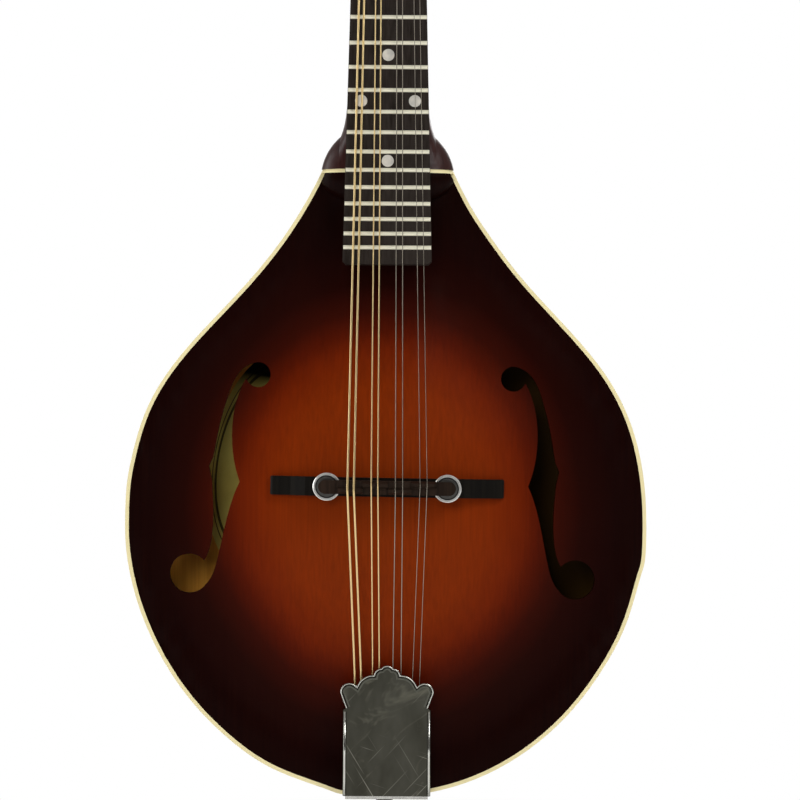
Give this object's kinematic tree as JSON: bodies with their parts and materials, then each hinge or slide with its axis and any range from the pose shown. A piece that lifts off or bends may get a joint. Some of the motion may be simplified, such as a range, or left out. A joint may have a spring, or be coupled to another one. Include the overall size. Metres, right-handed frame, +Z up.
{
  "type": "mandolin",
  "caption": "Teardrop-shaped arched-top mandolin with f-holes, floating adjustable bridge, sliding tailpiece cover and open-geared tuners.",
  "frame": {"origin": "middle of the strap button's head, on the body's centreline halfway between top and back", "axes": "+Z up the neck towards the headstock, -Y out of the top (front), +X to the treble side"},
  "size_m": [0.25, 0.1057, 0.6632],
  "materials": {
    "sunburst_top": "satin sunburst, spruce under amber and red-brown stain",
    "sunburst_back": "satin red-brown stain on maple",
    "maple_bare": "bare maple and spruce, unfinished",
    "neck_stain": "satin near-black red-brown stain on maple",
    "binding_cream": "cream plastic binding",
    "paper_label": "aged cream paper",
    "ebony": "dark fingerboard wood, low sheen",
    "fret_nickel": "polished nickel silver",
    "pearl": "pearl inlay",
    "bone": "polished bone",
    "steel": "plain steel",
    "nickel": "nickel plate",
    "worn_nickel": "scratched nickel plate",
    "gear_brass": "brass gear on a plated post",
    "black_plastic": "black plastic",
    "cream_button": "cream plastic",
    "bronze": "bronze wound string",
    "head_black": "black lacquered veneer"
  },
  "bodies": {
    "instrument": {"top_plate": "sunburst_top", "back_plate": "sunburst_back", "rib_bass": "sunburst_back", "rib_treble": "sunburst_back", "neck_block": "maple_bare", "tail_block": "maple_bare", "linings": "maple_bare", "tone_bars": "maple_bare", "front_binding": "binding_cream", "back_binding": "binding_cream", "label": "paper_label", "neck": "neck_stain", "heel_cap": "ebony", "fingerboard": "ebony", "frets": "fret_nickel", "position_dots": "pearl", "nut": "bone", "truss_rod": "steel", "truss_rod_cover": "black_plastic", "head_veneer": "head_black", "post_bushings": "nickel", "tuner_plate_bass": "nickel", "tuner_plate_treble": "nickel", "wood_screws": "nickel", "bridge_base": "ebony", "bridge_posts": "steel", "wound_strings": "bronze", "plain_strings": "steel", "tailpiece_base": "nickel", "strap_button": "black_plastic"},
    "saddle": {"saddle": "ebony"},
    "thumbwheel_bass": {"thumbwheel_bass": "nickel"},
    "thumbwheel_treble": {"thumbwheel_treble": "nickel"},
    "tailpiece_cover": {"tailpiece_cover": "worn_nickel"},
    "truss_rod_nut": {"truss_rod_nut": "steel"},
    "key_1": {"worm_shaft_1": "nickel", "tuner_button_1": "cream_button"},
    "post_1": {"string_post_1": "gear_brass"},
    "key_2": {"worm_shaft_2": "nickel", "tuner_button_2": "cream_button"},
    "post_2": {"string_post_2": "gear_brass"},
    "key_3": {"worm_shaft_3": "nickel", "tuner_button_3": "cream_button"},
    "post_3": {"string_post_3": "gear_brass"},
    "key_4": {"worm_shaft_4": "nickel", "tuner_button_4": "cream_button"},
    "post_4": {"string_post_4": "gear_brass"},
    "key_5": {"worm_shaft_5": "nickel", "tuner_button_5": "cream_button"},
    "post_5": {"string_post_5": "gear_brass"},
    "key_6": {"worm_shaft_6": "nickel", "tuner_button_6": "cream_button"},
    "post_6": {"string_post_6": "gear_brass"},
    "key_7": {"worm_shaft_7": "nickel", "tuner_button_7": "cream_button"},
    "post_7": {"string_post_7": "gear_brass"},
    "key_8": {"worm_shaft_8": "nickel", "tuner_button_8": "cream_button"},
    "post_8": {"string_post_8": "gear_brass"}
  },
  "joints": [
    {"name": "saddle_lift", "type": "slide", "parent": "instrument", "child": "saddle", "axis": [0, -1, 0], "range_m": [-0.002, 0]},
    {"name": "thumbwheel_bass_spin", "type": "hinge", "parent": "saddle", "child": "thumbwheel_bass", "pos_m": [-0.028, -0.0449, 0.15945], "axis": [0, -1, 0], "range_deg": [-1029, 0]},
    {"name": "thumbwheel_treble_spin", "type": "hinge", "parent": "saddle", "child": "thumbwheel_treble", "pos_m": [0.0292, -0.0449, 0.15875], "axis": [0, -1, 0], "range_deg": [-1029, 0]},
    {"name": "tailpiece_cover_slide", "type": "slide", "parent": "instrument", "child": "tailpiece_cover", "axis": [0, -0.0523, 0.9986], "range_m": [0, 0.012]},
    {"name": "truss_rod_nut_turn", "type": "hinge", "parent": "instrument", "child": "truss_rod_nut", "pos_m": [0, -0.00612, 0.52531], "axis": [0, 0.0958, 0.9954], "range_deg": [-180, 180]},
    {"name": "key_1_turn", "type": "hinge", "parent": "instrument", "child": "key_1", "pos_m": [-0.02, 0.0188, 0.55492], "axis": [1, 0, 0], "continuous": true},
    {"name": "post_1_turn", "type": "hinge", "parent": "instrument", "child": "post_1", "pos_m": [-0.02, 0.01613, 0.54738], "axis": [0, -0.9426, 0.3338], "continuous": true},
    {"name": "key_2_turn", "type": "hinge", "parent": "instrument", "child": "key_2", "pos_m": [-0.02, 0.02661, 0.57697], "axis": [1, 0, 0], "continuous": true},
    {"name": "post_2_turn", "type": "hinge", "parent": "instrument", "child": "post_2", "pos_m": [-0.02, 0.02394, 0.56943], "axis": [0, -0.9426, 0.3338], "continuous": true},
    {"name": "key_3_turn", "type": "hinge", "parent": "instrument", "child": "key_3", "pos_m": [-0.02, 0.03442, 0.59903], "axis": [1, 0, 0], "continuous": true},
    {"name": "post_3_turn", "type": "hinge", "parent": "instrument", "child": "post_3", "pos_m": [-0.02, 0.03175, 0.59149], "axis": [0, -0.9426, 0.3338], "continuous": true},
    {"name": "key_4_turn", "type": "hinge", "parent": "instrument", "child": "key_4", "pos_m": [-0.02, 0.04223, 0.62109], "axis": [1, 0, 0], "continuous": true},
    {"name": "post_4_turn", "type": "hinge", "parent": "instrument", "child": "post_4", "pos_m": [-0.02, 0.03956, 0.61355], "axis": [0, -0.9426, 0.3338], "continuous": true},
    {"name": "key_5_turn", "type": "hinge", "parent": "instrument", "child": "key_5", "pos_m": [0.02, 0.04223, 0.62109], "axis": [1, 0, 0], "continuous": true},
    {"name": "post_5_turn", "type": "hinge", "parent": "instrument", "child": "post_5", "pos_m": [0.02, 0.03956, 0.61355], "axis": [0, -0.9426, 0.3338], "continuous": true},
    {"name": "key_6_turn", "type": "hinge", "parent": "instrument", "child": "key_6", "pos_m": [0.02, 0.03442, 0.59903], "axis": [1, 0, 0], "continuous": true},
    {"name": "post_6_turn", "type": "hinge", "parent": "instrument", "child": "post_6", "pos_m": [0.02, 0.03175, 0.59149], "axis": [0, -0.9426, 0.3338], "continuous": true},
    {"name": "key_7_turn", "type": "hinge", "parent": "instrument", "child": "key_7", "pos_m": [0.02, 0.02661, 0.57697], "axis": [1, 0, 0], "continuous": true},
    {"name": "post_7_turn", "type": "hinge", "parent": "instrument", "child": "post_7", "pos_m": [0.02, 0.02394, 0.56943], "axis": [0, -0.9426, 0.3338], "continuous": true},
    {"name": "key_8_turn", "type": "hinge", "parent": "instrument", "child": "key_8", "pos_m": [0.02, 0.0188, 0.55492], "axis": [1, 0, 0], "continuous": true},
    {"name": "post_8_turn", "type": "hinge", "parent": "instrument", "child": "post_8", "pos_m": [0.02, 0.01613, 0.54738], "axis": [0, -0.9426, 0.3338], "continuous": true}
  ],
  "couplings": [
    {"joint": "thumbwheel_bass_spin", "follows": "saddle_lift", "rad_per_m": 8976},
    {"joint": "thumbwheel_treble_spin", "follows": "saddle_lift", "rad_per_m": 8976},
    {"joint": "post_1_turn", "follows": "key_1_turn", "ratio": 0.071429},
    {"joint": "post_2_turn", "follows": "key_2_turn", "ratio": 0.071429},
    {"joint": "post_3_turn", "follows": "key_3_turn", "ratio": 0.071429},
    {"joint": "post_4_turn", "follows": "key_4_turn", "ratio": 0.071429},
    {"joint": "post_5_turn", "follows": "key_5_turn", "ratio": 0.071429},
    {"joint": "post_6_turn", "follows": "key_6_turn", "ratio": 0.071429},
    {"joint": "post_7_turn", "follows": "key_7_turn", "ratio": 0.071429},
    {"joint": "post_8_turn", "follows": "key_8_turn", "ratio": 0.071429}
  ]
}
